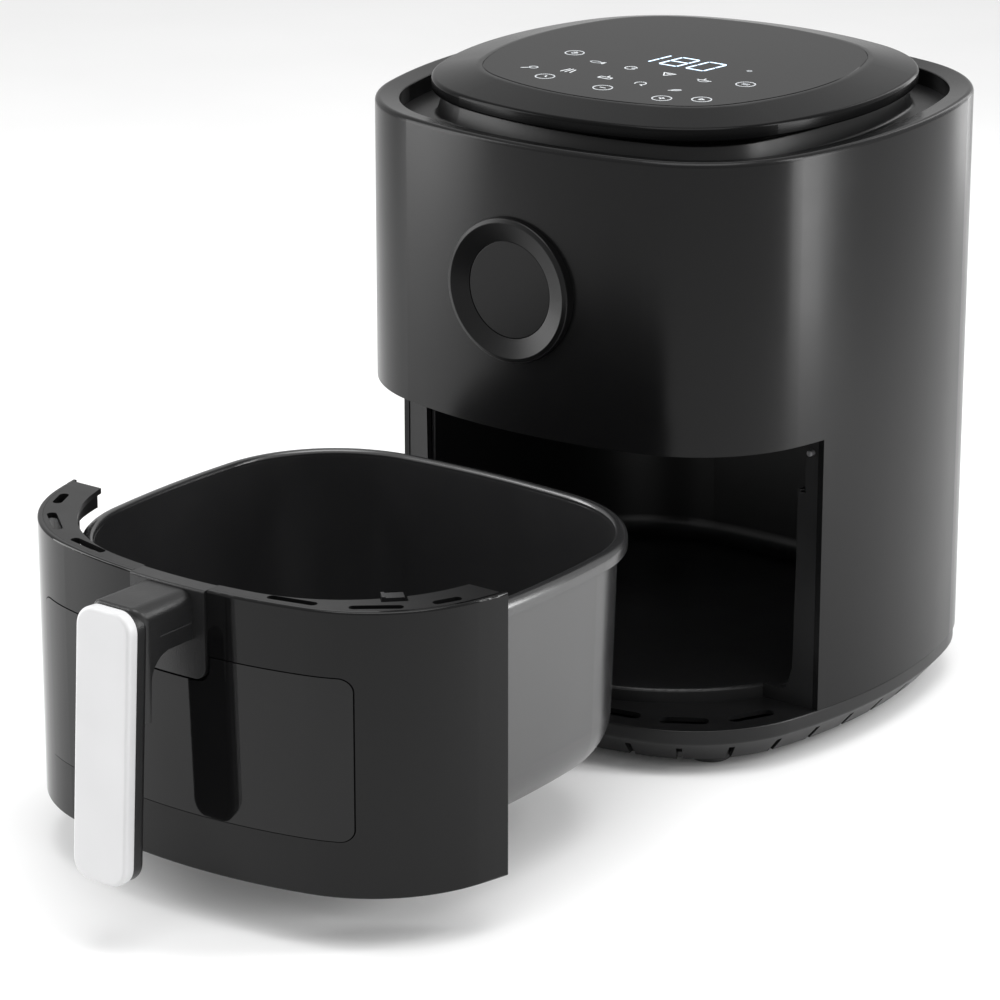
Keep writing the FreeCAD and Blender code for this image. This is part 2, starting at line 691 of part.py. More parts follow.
def cooling_fan():
    """Plastic axial fan that draws room air over the motor and the boards."""
    hub = cylinder(10, 268, 282)
    fan = hub.multiFuse(fan_blades(7, 9, COOLING_FAN_R, 262, 288, 62, 1.6))
    fan = fan.common(cylinder(COOLING_FAN_R, 267, 283))
    return fan.cut(cylinder(SHAFT_R, 190, 300))


# ---- drawer -----------------------------------------------------------------------------------
def mount_window(margin):
    """Outline of the handle mount as seen from the front, grown by a margin."""
    half = MOUNT_HALF + margin
    return rounded_block_y(-half, half, MOUNT_Z - margin, PANEL_Z[1] + 20, 6 + margin, -180, -90)


def inlay_window(margin):
    half = INLAY_HALF + margin
    return rounded_block_y(-half, half, INLAY_Z[0] - margin, INLAY_Z[1] + margin, 6 + margin, -180, -60)


def drawer_front():
    """Curved glossy panel that continues the shell's surface when the drawer is shut."""
    low, high = PANEL_Z
    panel = swept_ring(BODY, [(0, low, 0.9), (0, high, 1.1), (PANEL_T, high), (PANEL_T, low)])
    panel = front_of(panel, PANEL_END_Y)
    pocket = inlay_window(0.45).cut(prism(BODY, 1.3, 0, 200))
    return panel.cut(pocket).cut(mount_window(0.3))


def front_inlay():
    """Thin glossy plate let into the panel, notched round the foot of the handle mount."""
    plate = swept_ring(BODY, [(-0.25, 40), (-0.25, 140), (1.25, 140), (1.25, 40)])
    plate = front_of(plate, -60).common(inlay_window(0.0))
    return plate.cut(mount_window(1.4))


def handle_mount():
    """Block on the panel that the handle's arm grows from."""
    block = swept_ring(BODY, [(-1.2, MOUNT_Z - 10), (-1.2, PANEL_Z[1], 1.2), (8, PANEL_Z[1]), (8, MOUNT_Z - 10)])
    block = front_of(block, -100).common(mount_window(0.0))
    holes = [Part.makeCylinder(1.5, 12, V(x, HANDLE_SCREW_Y - 7.5, z), BACK) for x, z in HANDLE_SCREWS_AT]
    return block.cut(Part.makeCompound(holes))


def frame_slots():
    """Air slots in the frame's top flange, three a side."""
    cutters = []
    for distance, length in ((60, 24), (98, 24), (130, 14)):
        for side in (-1, 1):
            cutters.append(slot_cutter(BODY, 7.4, side * distance, length, 4.6, 140, 170))
    return cutters


def drawer_frame():
    """Black frame behind the panel, with a slotted top flange and two deep end blocks."""
    wall_inset = PANEL_T + 0.1
    top = PANEL_Z[1]
    wall = prism(BODY, wall_inset, 27, top).cut(prism(BODY, wall_inset + 2.4, 0, 200))
    flange = prism(BODY, wall_inset, top - 2.6, top).cut(prism(FRAME_REAR, 0, 0, 200))
    foot = prism(BODY, wall_inset, 27, 29.4).cut(prism(BODY, 10, 0, 200))
    block = prism(BODY, wall_inset, top - 10, top).cut(prism(BODY, 16.5, 0, 200))
    block = behind(block, -84)
    frame = wall.fuse(flange).fuse(foot).fuse(block)
    frame = front_of(frame, FRAME_END_Y).removeSplitter()
    notch = box(-6, 6, -7, 7, top - 3, top + 1)
    notch.rotate(V(0, 0, 0), UP, 45)
    notch.translate(V(FRAME_CLIP_AT.x, FRAME_CLIP_AT.y, 0))
    return frame.cut(Part.makeCompound(frame_slots())).cut(mount_window(0.05)).cut(notch)


FRAME_CLIP_AT = V(91.0, -91.0, 0)


def frame_clip():
    """Small spring clip that sits in the notch of the frame's flange."""
    top = PANEL_Z[1]
    clip = box(-5, 5, -1, 5.6, top - 2.4, top - 0.4).fuse(box(-5, 5, 4.0, 5.6, top - 12, top - 0.4))
    clip = clip.fuse(box(-5, -3.4, -1, 5.6, top - 2.4, top + 0.1))
    clip.rotate(V(0, 0, 0), UP, 45)
    clip.translate(V(FRAME_CLIP_AT.x, FRAME_CLIP_AT.y, 0))
    return clip


def lean_grip(shape):
    """Lean a shape made upright against the grip's front plane."""
    shape.rotate(V(0, GRIP_TOP_Y, GRIP_Z[1]), RIGHT, -GRIP_LEAN)
    return shape


def grip_slab(half, margin, radius, y0, y1):
    """Upright rounded slab as tall as the grip."""
    return rounded_block_y(-half, half, GRIP_Z[0] + margin, GRIP_Z[1] - margin, radius, y0, y1)


def handle_cover():
    """Pale metal-look face of the grip with bevelled edges."""
    front = GRIP_TOP_Y
    slab = grip_slab(GRIP_HALF, 0, 9.5, front, front + COVER_T)
    face_edges = [edge for edge in slab.Edges if edge.BoundBox.YMax < front + 0.01]
    slab = slab.makeChamfer(1.8, face_edges)
    return lean_grip(slab)


def handle_body():
    """Arm and black back of the grip, one moulding."""
    back_front = GRIP_TOP_Y + COVER_T + 0.25
    back_rear = back_front + GRIP_BACK_T
    slab = grip_slab(GRIP_HALF - 0.5, 0.5, 9.0, back_front, back_rear)
    rear_edges = [edge for edge in slab.Edges if edge.BoundBox.YMin > back_rear - 0.01]
    slab = lean_grip(slab.makeFillet(3.2, rear_edges))
    top = GRIP_Z[1]
    corners = [(back_front + 1, top, 2), (-125, top - 0.6), (-125, 136.4), (back_rear + 1.0, 136.4, 13),
               (back_rear - 0.6, 106), (back_front + 1.4, 106)]
    wire = rounded_wire(corners, lambda point: V(-ARM_HALF, point.x, point.y))
    arm = Part.Face(wire).extrude(RIGHT * 2 * ARM_HALF)
    upper = [edge for edge in arm.Edges
             if edge.BoundBox.ZMin > top - 3 and edge.BoundBox.YLength > 20 and edge.BoundBox.XLength < 0.01]
    arm = arm.makeFillet(6.0, upper)
    return slab.fuse(arm.cut(prism(BODY, -1.2, 0, 200))).removeSplitter()


def handle_screws():
    """Screws that go into the handle mount from behind."""
    return Part.makeCompound([screw(x, HANDLE_SCREW_Y, z, BACK, shank=7) for x, z in HANDLE_SCREWS_AT])


def pan_outer():
    """Outside of the pan below its rim."""
    profile = [(8.0, PAN_FLOOR_Z, 28), (4.5, PAN_RIM_Z - 3), (60, PAN_RIM_Z - 3), (60, PAN_FLOOR_Z)]
    return swept_disc(PAN, profile, 60, PAN_FLOOR_Z, PAN_RIM_Z - 3)


def pan_inner():
    floor = PAN_FLOOR_Z + PAN_T
    profile = [(8.0 + PAN_T, floor, 28 - PAN_T), (4.5 + PAN_T, PAN_RIM_Z + 3), (60, PAN_RIM_Z + 3), (60, floor)]
    return swept_disc(PAN, profile, 60, floor, PAN_RIM_Z + 3)


def pan():
    """Deep non-stick pan with a rolled rim."""
    low = PAN_RIM_Z - 7.5
    rim = swept_ring(PAN, [
        (0, low, 0.4), (0, PAN_RIM_Z, 3.6), (6.0, PAN_RIM_Z, 2.0), (6.0, low + 2), (4.6, low + 2),
        (4.6, PAN_RIM_Z - 2.2, 1.0), (1.4, PAN_RIM_Z - 2.2, 1.4), (1.4, low, 0.4)])
    body = pan_outer().cut(pan_inner()).fuse(rim).removeSplitter()
    return body.cut(Part.makeCompound(pan_screw_holes()))


def pan_bracket():
    """Spacer that carries the pan behind the frame."""
    block = rounded_block_y(-30, 30, 56, 114, 8, -140, -90)
    block = block.common(prism(BODY, PANEL_T + 2.6, 0, 200)).cut(pan_outer())
    block = front_of(block, -96)
    block = block.cut(rounded_block_y(-15, 15, 68, 102, 6, -150, -80))
    return block.cut(Part.makeCompound(pan_screw_holes()))


# The seat of each head follows the draft of the pan's wall: x, y, z.
PAN_SCREWS_AT = [(x, y, z) for x in (-22, 22) for y, z in ((-103.7, 70), (-104.6, 100))]


def pan_screw_holes():
    return [Part.makeCylinder(2.0, 15, V(x, y - 12, z), BACK) for x, y, z in PAN_SCREWS_AT]


def pan_screws():
    """Screws that hold the pan to the spacer, with low round heads inside the pan."""
    return Part.makeCompound([screw(x, y, z, BACK, head_r=4, head_h=1.8, shank_r=2, shank=10)
                              for x, y, z in PAN_SCREWS_AT])


# ---- tray -------------------------------------------------------------------------------------
TRAY_INSET = 18.6


def tray_holes():
    cutters = []
    pitch = 15.0
    for row in range(-6, 7):
        for column in range(-7, 8):
            x = pitch * (column + (0.5 if row % 2 else 0))
            y = PAN.centre_y + pitch * 0.866 * row
            far = math.hypot(x / 92, (y - PAN.centre_y) / 85) > 0.97
            near = math.hypot(x, y - PAN.centre_y) < 20
            if not far and not near:
                cutters.append(cylinder(4.2, TRAY_Z - 5, TRAY_Z + 10, x, y))
    return cutters


def crisper_tray():
    """Perforated tray with a raised edge, a finger hole and four legs."""
    top = TRAY_Z + 1.6
    plate = prism(PAN, TRAY_INSET, TRAY_Z, top)
    lip = prism(PAN, TRAY_INSET, top, top + 3.0).cut(prism(PAN, TRAY_INSET + 1.6, 0, 100))
    tray = plate.fuse(lip).cut(Part.makeCompound(tray_holes()))
    tray = tray.cut(cylinder(11, 0, 100, 0, PAN.centre_y))
    collar = cylinder(13, TRAY_Z, top + 4, 0, PAN.centre_y).cut(cylinder(11, 0, 100, 0, PAN.centre_y))
    legs = [cylinder(4, PAN_FLOOR_Z + PAN_T + 0.4, TRAY_Z, x, PAN.centre_y + y)
            for x in (-64, 64) for y in (-58, 58)]
    return tray.multiFuse([collar] + legs).removeSplitter()


def tray_bumpers():
    """Soft pads on the tray's edge that keep it from rattling in the pan."""
    pads = []
    edge_x = PAN.half_x - TRAY_INSET
    edge_y = PAN.half_y - TRAY_INSET
    for x, y, wide, deep in ((edge_x, 0, 1.4, 14), (-edge_x, 0, 1.4, 14), (0, edge_y, 14, 1.4), (0, -edge_y, 14, 1.4)):
        pad = box(x - wide, x + wide, y - deep / 2, y + deep / 2, TRAY_Z - 0.2, TRAY_Z + 5.4)
        if wide > deep:
            pad = box(x - wide / 2, x + wide / 2, y - deep, y + deep, TRAY_Z - 0.2, TRAY_Z + 5.4)
        pad.translate(V(0, PAN.centre_y, 0))
        pads.append(pad)
    clear = crisper_tray()
    return Part.makeCompound([pad.cut(clear) for pad in pads])


# ---- write every piece ------------------------------------------------------------------------
HOUSING = [
    outer_shell, air_outlet_grille, cord_gland, base_ring, base_plate, base_screws, feet, top_deck,
    control_lid, touch_glass, display_module, control_board, medallion_ring, medallion_disc,
    cavity_liner, front_frame, heat_reflector, heater_element, heater_guard, guard_posts, fan_motor,
    motor_bracket, bracket_screws, thermal_cutout, power_board, door_switch, switch_plunger,
    motor_shaft, convection_fan, cooling_fan,
]
DRAWER = [
    drawer_front, front_inlay, handle_mount, drawer_frame, frame_clip, handle_cover, handle_body,
    handle_screws, pan, pan_bracket, pan_screws, crisper_tray, tray_bumpers,
]


def write(maker, shift):
    """Build one piece, check it and write it under its function's name."""
    shape = maker()
    shape.translate(shift)
    solids = shape.Solids
    result = solids[0] if len(solids) == 1 else Part.makeCompound(solids)
    bounds = result.BoundBox
    print("%-18s solids %2d valid %s faces %4d volume %9.0f  x %7.1f %7.1f  y %7.1f %7.1f  z %6.1f %6.1f" % (
        maker.__name__, len(solids), result.isValid(), len(result.Faces), result.Volume,
        bounds.XMin, bounds.XMax, bounds.YMin, bounds.YMax, bounds.ZMin, bounds.ZMax))
    result.exportStep("parts/%s.step" % maker.__name__)


os.makedirs("parts", exist_ok=True)
for piece in HOUSING:
    write(piece, V(0, HOUSING_BACK, 0))
for piece in DRAWER:
    write(piece, V(0, HOUSING_BACK - DRAWER_TRAVEL, 0))
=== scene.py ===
import bpy
import bmesh
import json
import math
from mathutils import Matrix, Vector


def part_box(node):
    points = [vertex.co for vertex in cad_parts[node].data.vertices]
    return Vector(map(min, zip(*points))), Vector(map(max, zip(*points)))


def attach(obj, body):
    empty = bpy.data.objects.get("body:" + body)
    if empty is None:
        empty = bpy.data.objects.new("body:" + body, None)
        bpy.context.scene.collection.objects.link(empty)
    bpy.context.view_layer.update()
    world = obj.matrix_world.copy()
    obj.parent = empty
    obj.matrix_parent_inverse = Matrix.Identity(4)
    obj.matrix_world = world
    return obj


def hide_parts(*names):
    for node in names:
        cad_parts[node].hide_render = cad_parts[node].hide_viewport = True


# Basket air fryer with its drawer out. The CAD frame is in metres, +Z up, front towards -Y.

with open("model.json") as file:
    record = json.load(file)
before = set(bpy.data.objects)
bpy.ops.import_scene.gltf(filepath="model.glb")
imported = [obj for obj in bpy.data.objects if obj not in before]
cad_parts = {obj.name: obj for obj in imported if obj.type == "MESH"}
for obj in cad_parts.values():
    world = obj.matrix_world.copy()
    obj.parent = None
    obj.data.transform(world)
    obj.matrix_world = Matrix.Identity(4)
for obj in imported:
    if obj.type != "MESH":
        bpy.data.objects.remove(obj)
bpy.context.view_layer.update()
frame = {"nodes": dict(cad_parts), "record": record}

SCENE = bpy.context.scene
NODES = frame["nodes"]
MM = 0.001


# ---- places read from the frame ---------------------------------------------------------------
def middle_of(node):
    low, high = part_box(node)
    return (Vector(low) + Vector(high)) / 2


HOUSING = middle_of("outer_shell")
GLASS_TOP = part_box("touch_glass")[1][2]


# ---- material helpers -------------------------------------------------------------------------
NOISE_LOW = 0.3             # nearly all values of a noise texture lie between these two
NOISE_HIGH = 0.7


class Shader:
    """A principled material whose colour, roughness and bump come from noise in object space."""

    def __init__(self, name):
        self.material = bpy.data.materials.new(name)
        self.material.use_nodes = True
        self.nodes = self.material.node_tree.nodes
        self.links = self.material.node_tree.links
        self.surface = self.nodes["Principled BSDF"]
        self.coords = self.nodes.new("ShaderNodeTexCoord")

    def set(self, **values):
        """Set sockets by name, with an underscore for each space."""
        for key, value in values.items():
            self.surface.inputs[key.replace("_", " ")].default_value = value

    def noise(self, scale, detail=2.0):
        mapping = self.nodes.new("ShaderNodeMapping")
        self.links.new(self.coords.outputs["Object"], mapping.inputs["Vector"])
        texture = self.nodes.new("ShaderNodeTexNoise")
        texture.inputs["Scale"].default_value = scale
        texture.inputs["Detail"].default_value = detail
        self.links.new(mapping.outputs["Vector"], texture.inputs["Vector"])
        return texture.outputs["Fac"]

    def spread(self, value, low, high):
        """Map a noise onto a range."""
        remap = self.nodes.new("ShaderNodeMapRange")
        remap.inputs["From Min"].default_value = NOISE_LOW
        remap.inputs["From Max"].default_value = NOISE_HIGH
        remap.inputs["To Min"].default_value = low
        remap.inputs["To Max"].default_value = high
        self.links.new(value, remap.inputs["Value"])
        return remap.outputs["Result"]

    def colour(self, dark, light, fac):
        mix = self.nodes.new("ShaderNodeMix")
        mix.data_type = "RGBA"
        mix.inputs["A"].default_value = (*dark, 1)
        mix.inputs["B"].default_value = (*light, 1)
        self.links.new(fac, mix.inputs["Factor"])
        self.links.new(mix.outputs["Result"], self.surface.inputs["Base Color"])

    def roughness(self, value):
        self.links.new(value, self.surface.inputs["Roughness"])

    def bump(self, height, strength, distance):
        node = self.nodes.new("ShaderNodeBump")
        node.inputs["Strength"].default_value = strength
        node.inputs["Distance"].default_value = distance
        self.links.new(height, node.inputs["Height"])
        self.links.new(node.outputs["Normal"], self.surface.inputs["Normal"])


CLOUD_SCALE = 9             # slow drift of a moulding's colour
CLOUD_DETAIL = 3
CLOUD_DRIFT = 0.08          # share by which the drift lightens and darkens
SHEEN_SCALE = 40            # patches of a moulding's roughness
SHEEN_DETAIL = 4
MOULDED_DEPTH = 0.2 * MM
METAL_DARK = 0.88           # darkest streak of a metal against its own colour
METAL_SWING = 0.05
METAL_SCALE = 600
METAL_DETAIL = 4
METAL_GRAIN = 0.1
METAL_DEPTH = 0.1 * MM


def grey(level, tint):
    """A grey whose blue is stronger by the tint."""
    return (level, level, level * (1 + tint))


def plastic(name, level, rough, swing=0.03, grain=0.0, grain_scale=2500, specular=0.5, tint=0.04):
    """Moulded plastic or coating: cloudy gloss, faint colour drift and a fine moulded grain."""
    shader = Shader(name)
    dark = grey(level * (1 - CLOUD_DRIFT), tint)
    light = grey(level * (1 + CLOUD_DRIFT), tint)
    shader.colour(dark, light, shader.spread(shader.noise(CLOUD_SCALE, CLOUD_DETAIL), 0, 1))
    sheen = shader.noise(SHEEN_SCALE, SHEEN_DETAIL)
    shader.roughness(shader.spread(sheen, rough - swing, rough + swing))
    shader.set(Specular_IOR_Level=specular)
    if grain:
        shader.bump(shader.noise(grain_scale), grain, MOULDED_DEPTH)
    return shader.material


def metal(name, colour, rough):
    """Sheet or turned metal with a fine, even grain."""
    shader = Shader(name)
    streaks = shader.noise(METAL_SCALE, METAL_DETAIL)
    shader.colour(tuple(c * METAL_DARK for c in colour), colour, shader.spread(streaks, 0, 1))
    shader.roughness(shader.spread(streaks, rough - METAL_SWING, rough + METAL_SWING))
    shader.set(Metallic=1.0)
    shader.bump(streaks, METAL_GRAIN, METAL_DEPTH)
    return shader.material


# Each plastic has its grey level and roughness, then how far the roughness swings.
MATERIALS = {
    "shell_gloss": plastic("shell_gloss", 0.0035, 0.24, 0.015, grain=0.03, grain_scale=1500, specular=0.2),
    "panel_gloss": plastic("panel_gloss", 0.0035, 0.05, 0.012, grain=0.015, grain_scale=900, specular=0.22),
    "inlay_gloss": plastic("inlay_gloss", 0.0045, 0.03, 0.008, grain=0.01, grain_scale=900, specular=0.27),
    "lid_gloss": plastic("lid_gloss", 0.002, 0.2, 0.015, grain=0.03, grain_scale=1500, specular=0.09),
    "touch_glass": plastic("touch_glass", 0.0015, 0.12, 0.01, specular=0.05),
    "medallion_satin": plastic("medallion_satin", 0.0035, 0.3, 0.02, grain=0.05, specular=0.2),
    "matte_black": plastic("matte_black", 0.005, 0.34, grain=0.12, specular=0.28),
    "liner_black": plastic("liner_black", 0.007, 0.32, 0.04, grain=0.1, specular=0.4),
    "handle_black": plastic("handle_black", 0.007, 0.36, 0.04, grain=0.55, grain_scale=1300, specular=0.42),
    "cover_silver": plastic("cover_silver", 0.58, 0.34, grain=0.04, tint=0.01),
    "pan_coat": plastic("pan_coat", 0.014, 0.24, grain=0.08, grain_scale=3500, specular=1.0),
    "tray_coat": plastic("tray_coat", 0.018, 0.32, 0.04, grain=0.1, grain_scale=3500, specular=0.8),
    "steel": metal("steel", (0.55, 0.55, 0.56), 0.35),
    "screw_steel": metal("screw_steel", (0.45, 0.45, 0.47), 0.3),
    "heater_steel": metal("heater_steel", (0.2, 0.18, 0.17), 0.5),
    "fan_plastic": plastic("fan_plastic", 0.09, 0.45),
    "foot_rubber": plastic("foot_rubber", 0.02, 0.7, 0.05, grain=0.3),
    "silicone": plastic("silicone", 0.04, 0.6, 0.05, grain=0.2),
    "board_green": plastic("board_green", 0.06, 0.35),
    "display_black": plastic("display_black", 0.015, 0.25),
    "motor_grey": metal("motor_grey", (0.35, 0.35, 0.36), 0.35),
}

for part in frame["record"]["subparts"]:
    node = NODES[part["node"]]
    node.data.materials.clear()
    node.data.materials.append(MATERIALS[part["material_slot"]])


# ---- new pieces -------------------------------------------------------------------------------
def finish_piece(name, build, material, body):
    """Turn a bmesh into a piece that rides on a body and takes a slot's finish."""
    mesh = bpy.data.meshes.new(name)
    build.to_mesh(mesh)
    build.free()
    mesh.materials.append(material)
    piece = bpy.data.objects.new(name, mesh)
    SCENE.collection.objects.link(piece)
    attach(piece, body)
    return piece


# ---- prints on the touch glass ----------------------------------------------------------------
# Places and widths of the prints are in millimetres about the housing's middle.
PRINT_THICK = 0.12 * MM
INK_SCALE = 400
INK_DARK = 0.94             # faintest ink against its own colour
INK_ROUGH = 0.5
CAP_STEPS = 6               # of the half circle at a stroke's end


def glowing(name, colour, strength):
    """Faintly uneven printed or lit ink."""
    shader = Shader(name)
    dark = tuple(c * INK_DARK for c in colour)
    shader.colour(dark, colour, shader.spread(shader.noise(INK_SCALE), 0, 1))
    shader.set(Roughness=INK_ROUGH, Emission_Strength=strength, Emission_Color=(*colour, 1))
    return shader.material


def arc(x, y, radius, start, sweep, steps=12):
    """Points along an arc, with its start and sweep in degrees."""
    turns = [math.radians(start + sweep * i / steps) for i in range(steps + 1)]
    return [(x + radius * math.cos(t), y + radius * math.sin(t)) for t in turns]


def wave(y, half, height):
    """Two level waves in twelve steps."""
    return [(half * (i / 6 - 1), y + height * math.sin(i * math.pi / 3)) for i in range(13)]


def bar(build, start, end, width, place):
    """A flat round-ended stroke with a little thickness."""
    heading = math.atan2(end[1] - start[1], end[0] - start[0])
    rim = []
    for centre, first in ((end, -90), (start, 90)):
        for step in range(CAP_STEPS + 1):
            turn = heading + math.radians(first + 180 * step / CAP_STEPS)
            rim.append((centre[0] + width / 2 * math.cos(turn), centre[1] + width / 2 * math.sin(turn)))
    low = [build.verts.new(place(x, y, 0)) for x, y in rim]
    high = [build.verts.new(place(x, y, PRINT_THICK)) for x, y in rim]
    count = len(rim)
    build.faces.new(high)
    build.faces.new(low[::-1])
    for i in range(count):
        j = (i + 1) % count
        build.faces.new((low[i], low[j], high[j], high[i]))


def print_strokes(name, strokes, width, material):
    """Lay strokes on the glass as one piece."""
    def place(x, y, z):
        return Vector((HOUSING.x + x * MM, HOUSING.y + y * MM, GLASS_TOP + z))

    build = bmesh.new()
    for stroke in strokes:
        for start, end in zip(stroke, stroke[1:]):
            bar(build, start, end, width, place)
    finish_piece(name, build, material, "housing")


DIGIT_WIDE = 10.5
DIGIT_HIGH = 17.5
DIGIT_SLANT = 0.12
DIGIT_GAP = 0.9             # between the ends of two segments
DIGIT_STROKE = 1.1
DIGITS_AT = ((-18.5, "bc"), (-1.5, "abcdefg"), (14.5, "abcdef"))
DIGITS_FOOT = -12.6
DIGIT_GLOW = glowing("digit_glow", (0.62, 0.80, 1.0), 1.0)


def digit(left, segments):
    """One figure of slanted segments, lettered a to g as on any seven-segment display."""
    wide, high, half, gap = DIGIT_WIDE, DIGIT_HIGH, DIGIT_HIGH / 2, DIGIT_GAP
    ends = {
        "a": ((gap, high), (wide - gap, high)),
        "b": ((wide, high - gap), (wide, half + gap)),
        "c": ((wide, half - gap), (wide, gap)),
        "d": ((gap, 0), (wide - gap, 0)),
        "e": ((0, gap), (0, half - gap)),
        "f": ((0, half + gap), (0, high - gap)),
        "g": ((gap, half), (wide - gap, half)),
    }
    return [[(left + x + DIGIT_SLANT * y, DIGITS_FOOT + y) for x, y in ends[s]] for s in segments]


figures = sum((digit(left, segments) for left, segments in DIGITS_AT), [])
print_strokes("display_digits", figures, DIGIT_STROKE, DIGIT_GLOW)

# Strokes of each glyph about its own middle, to be scaled by the glyph's half size.
GLYPHS = {
    "plus": [[(-0.5, 0), (0.5, 0)], [(0, -0.5), (0, 0.5)]],
    "minus": [[(-0.5, 0), (0.5, 0)]],
    "power": [arc(0, 0, 0.5, 125, 290), [(0, 0.1), (0, 0.65)]],
    "clock": [[(0, 0.5), (0, 0), (0.35, -0.2)]],
    "play": [[(-0.3, -0.45), (0.5, 0), (-0.3, 0.45), (-0.3, -0.45)]],
    "heat": [wave(0.25, 0.55, 0.16), wave(-0.25, 0.55, 0.16)],
    "sticks": [[(-0.7, -0.7), (-0.45, 0.8)], [(-0.1, -0.7), (-0.05, 0.9)], [(0.6, -0.7), (0.4, 0.7)]],
    "drumstick": [arc(0.25, 0.25, 0.5, 0, 360), [(-0.1, -0.1), (-0.75, -0.75)]],
    "fish": [arc(0, -0.55, 0.95, 35, 110), arc(0, 0.55, 0.95, 215, 110),
             [(0.75, 0), (1.1, 0.4), (1.1, -0.4), (0.75, 0)]],
    "cake": [[(-0.8, -0.5), (0.8, -0.5), (0.8, 0.15), (-0.8, 0.15), (-0.8, -0.5)], [(0, 0.15), (0, 0.75)]],
    "steak": [arc(-0.1, 0, 0.7, 20, 320), arc(0.25, 0.05, 0.2, 0, 360)],
    "prawn": [arc(0, 0, 0.65, -60, 280), [(0.3, -0.55), (0.75, -0.8)]],
    "slice": [[(-0.8, 0.5), (0.8, 0.5), (0, -0.8), (-0.8, 0.5)], [(-0.2, 0.15), (0.2, 0.15)]],
    "leaf": [arc(-0.4, 0.4, 0.9, -80, 75), arc(0.45, -0.45, 0.9, 100, 75), [(-0.6, -0.6), (0.3, 0.3)]],
    "bowl": [arc(0, 0.15, 0.7, 180, 180), [(-0.9, 0.15), (0.9, 0.15)], [(-0.2, 0.4), (-0.2, 0.8)]],
}
RING_R = 4.7
RING_STEPS = 28
RING_GLYPH = 3.0
FOOD_GLYPH = 4.3
RINGED_AT = {"power": (-48, -19), "clock": (-30, -68), "minus": (6, -70), "plus": (41, -70.5),
             "play": (57.5, -61), "heat": (57, -23)}
FOOD_AT = {"drumstick": (-47, -57), "sticks": (-27.5, -51.5), "fish": (-28, -28.5), "cake": (-5, -52),
           "steak": (-6.5, -28.5), "prawn": (15.5, -52), "slice": (15, -28.5), "leaf": (37, -53),
           "bowl": (36.5, -29)}
DOT_AT = (43, 1)            # small round lamp beside the figures
DOT_R = 1.1
ICON_STROKE = 0.6
ICON_INK = glowing("icon_ink", (0.62, 0.64, 0.66), 0.3)


def scaled(strokes, at, size):
    return [[(at[0] + x * size, at[1] + y * size) for x, y in stroke] for stroke in strokes]


icons = []
for glyph, at in RINGED_AT.items():
    icons += scaled(GLYPHS[glyph], at, RING_GLYPH) + [arc(*at, RING_R, 0, 360, RING_STEPS)]
for glyph, at in FOOD_AT.items():
    icons += scaled(GLYPHS[glyph], at, FOOD_GLYPH)
icons += [arc(*DOT_AT, DOT_R, 0, 360)]
print_strokes("touch_icons", icons, ICON_STROKE, ICON_INK)


# ---- handle -----------------------------------------------------------------------------------
GRIP_LEAN = math.radians(3.6)       # how far the grip leans out at its foot
GRIP_CORNER = 9.5 * MM
CORNER_LEAST = 2 * MM               # smallest corner of the innermost outlines
CORNER_STEPS = 14
COVER_EASE = 0.6 * MM               # small chamfer at the back edge
COVER_BEVEL = 1.9 * MM
COVER_CROWN = 0.08 * MM             # how far the middle stands proud of the rim
CROWN_HALF_AT = 4 * MM              # in from the rim, where half of the crown is reached
CROWN_FULL_AT = 7 * MM


def rounded_rectangle(half_wide, half_high, radius):
    """Points round a rounded rectangle, counter-clockwise."""
    points = []
    for quarter, (sx, sz) in enumerate(((1, 1), (-1, 1), (-1, -1), (1, -1))):
        for step in range(CORNER_STEPS + 1):
            turn = math.pi / 2 * (quarter + step / CORNER_STEPS)
            points.append((sx * (half_wide - radius) + radius * math.cos(turn),
                           sz * (half_high - radius) + radius * math.sin(turn)))
    return points


def grip_cover():
    """Pale cap of the grip: flat back, upright edge, rolled bevel and a very slight crown."""
    low, high = (Vector(corner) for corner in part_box("handle_cover"))
    size = high - low
    sine, cosine = math.sin(GRIP_LEAN), math.cos(GRIP_LEAN)
    tall = (size.z * cosine - size.y * sine) / (cosine ** 2 - sine ** 2)
    thick = (size.y - tall * sine) / cosine
    foot_y = low.y + tall * sine
    loops = [(COVER_EASE, thick), (0.0, thick - COVER_EASE), (0.0, COVER_BEVEL)]
    for angle in range(15, 91, 15):
        turn = math.radians(angle)
        loops.append((COVER_BEVEL * (1 - math.cos(turn)), COVER_BEVEL * (1 - math.sin(turn))))
    loops += [(CROWN_HALF_AT, -COVER_CROWN / 2), (CROWN_FULL_AT, -COVER_CROWN)]
    build = bmesh.new()
    rings = []
    for inset, depth in loops:
        ring = []
        corner = max(GRIP_CORNER - inset, CORNER_LEAST)
        for x, along in rounded_rectangle(size.x / 2 - inset, tall / 2 - inset, corner):
            down = tall / 2 - along
            ring.append(build.verts.new((
                (low.x + high.x) / 2 + x,
                foot_y + (depth + COVER_CROWN) * cosine - down * sine,
                high.z - (depth + COVER_CROWN) * sine - down * cosine)))
        rings.append(ring)
    for inner, outer in zip(rings, rings[1:]):
        for i in range(len(inner)):
            j = (i + 1) % len(inner)
            build.faces.new((inner[i], inner[j], outer[j], outer[i]))
    build.faces.new(rings[0])
    build.faces.new(rings[-1][::-1])
    bmesh.ops.recalc_face_normals(build, faces=build.faces)
    for face in build.faces:
        face.smooth = True
    piece = finish_piece("grip_cover", build, MATERIALS["cover_silver"], "drawer")
    weighted = piece.modifiers.new("weighted", "WEIGHTED_NORMAL")
    weighted.keep_sharp = True
    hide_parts("handle_cover")


